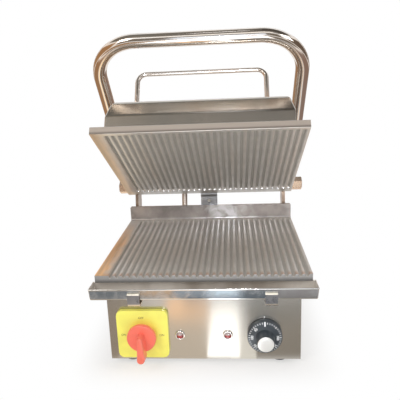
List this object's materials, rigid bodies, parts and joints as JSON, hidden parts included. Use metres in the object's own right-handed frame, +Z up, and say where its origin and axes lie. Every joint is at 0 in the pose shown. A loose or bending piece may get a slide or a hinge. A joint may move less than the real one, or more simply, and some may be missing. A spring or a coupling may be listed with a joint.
{
  "type": "sandwich grill",
  "caption": "Open countertop sandwich grill: steel base, ribbed cast plates, drip channel, rotary switch, thermostat, and an upper head that floats on a hinged tube handle",
  "frame": {"origin": "centre of the bounding box at the level of the undersides of the feet, with the lid open as in the picture", "axes": "+Z up, -Y out of the front panel towards the user, +X to the user's right"},
  "size_m": [0.3104, 0.32, 0.4132],
  "materials": {
    "brushed_steel": "brushed stainless sheet",
    "polished_steel": "polished stainless steel",
    "zinc_steel": "zinc plated, dull",
    "heater_steel": "heat darkened",
    "chrome": "polished",
    "cast_iron": "machined ribs, satin",
    "yellow_plastic": "semi-gloss",
    "red_plastic": "semi-gloss",
    "black_plastic": "satin",
    "white_plastic": "satin",
    "red_lens": "clear red",
    "rubber": "matt",
    "hose": "braided sleeve, light grey"
  },
  "bodies": {
    "base": {"base_housing": "brushed_steel", "front_panel": "brushed_steel", "base_plate": "zinc_steel", "rear_deck": "brushed_steel", "foot_front_left": "rubber", "foot_front_right": "rubber", "foot_rear_left": "rubber", "foot_rear_right": "rubber", "lower_plate": "cast_iron", "lower_element": "heater_steel", "lower_heat_shield": "zinc_steel", "tray_clip_left": "polished_steel", "tray_clip_right": "polished_steel", "switch_plate": "yellow_plastic", "switch_body": "black_plastic", "lamp_bezel_left": "chrome", "lamp_bezel_right": "chrome", "lamp_lens_left": "red_lens", "lamp_lens_right": "red_lens", "thermostat_body": "zinc_steel", "terminal_block": "white_plastic", "mains_gland": "black_plastic", "hinge_bracket_left": "brushed_steel", "hinge_bracket_right": "brushed_steel", "bracket_bolt_left_lower": "zinc_steel", "bracket_bolt_left_upper": "zinc_steel", "bracket_bolt_right_lower": "zinc_steel", "bracket_bolt_right_upper": "zinc_steel", "hinge_bolt_left": "zinc_steel", "hinge_bolt_right": "zinc_steel", "hinge_spacer_left": "zinc_steel", "hinge_spacer_right": "zinc_steel", "hinge_cap_nut_left": "chrome", "hinge_cap_nut_right": "chrome", "stop_bracket": "brushed_steel", "stop_bolt": "zinc_steel", "hose_gland_lower": "black_plastic", "hose_lower": "hose"},
    "handle_arm": {"handle_tube": "polished_steel", "handle_lug_left": "brushed_steel", "handle_lug_right": "brushed_steel", "pivot_bolt_left": "zinc_steel", "pivot_bolt_right": "zinc_steel", "pivot_nut_left": "zinc_steel", "pivot_nut_right": "zinc_steel"},
    "upper_head": {"upper_housing": "brushed_steel", "upper_plate": "cast_iron", "upper_element": "heater_steel", "upper_heat_shield": "zinc_steel", "pivot_ear_left": "brushed_steel", "pivot_ear_right": "brushed_steel", "top_bail": "polished_steel", "hose_gland_upper": "black_plastic", "hose_upper": "hose"},
    "switch_knob": {"switch_handle": "red_plastic"},
    "thermostat_knob": {"thermostat_dial": "black_plastic", "thermostat_cap": "chrome", "thermostat_shaft": "zinc_steel"},
    "drip_drawer": {"drip_tray": "polished_steel"}
  },
  "joints": [
    {"name": "lid_hinge", "type": "hinge", "parent": "base", "child": "handle_arm", "pos_m": [0, 0.141, 0.175], "axis": [1, 0, 0], "range_deg": [0, 49.64], "deforming": ["hose_lower"]},
    {"name": "head_float", "type": "hinge", "parent": "handle_arm", "child": "upper_head", "pos_m": [0, 0.07492, 0.2566], "axis": [1, 0, 0], "range_deg": [-17.65, 0], "deforming": ["hose_upper"]},
    {"name": "switch_turn", "type": "hinge", "parent": "base", "child": "switch_knob", "pos_m": [-0.077, -0.128, 0.046], "axis": [0, 1, 0], "range_deg": [-90, 90]},
    {"name": "thermostat_turn", "type": "hinge", "parent": "base", "child": "thermostat_knob", "pos_m": [0.076, -0.128, 0.043], "axis": [0, 1, 0], "range_deg": [0, 270]},
    {"name": "drip_tray_slide", "type": "slide", "parent": "base", "child": "drip_drawer", "axis": [1, 0, 0], "range_m": [-0.2, 0.2]}
  ],
  "couplings": [
    {"joint": "head_float", "follows": "lid_hinge", "ratio": -0.35536}
  ]
}
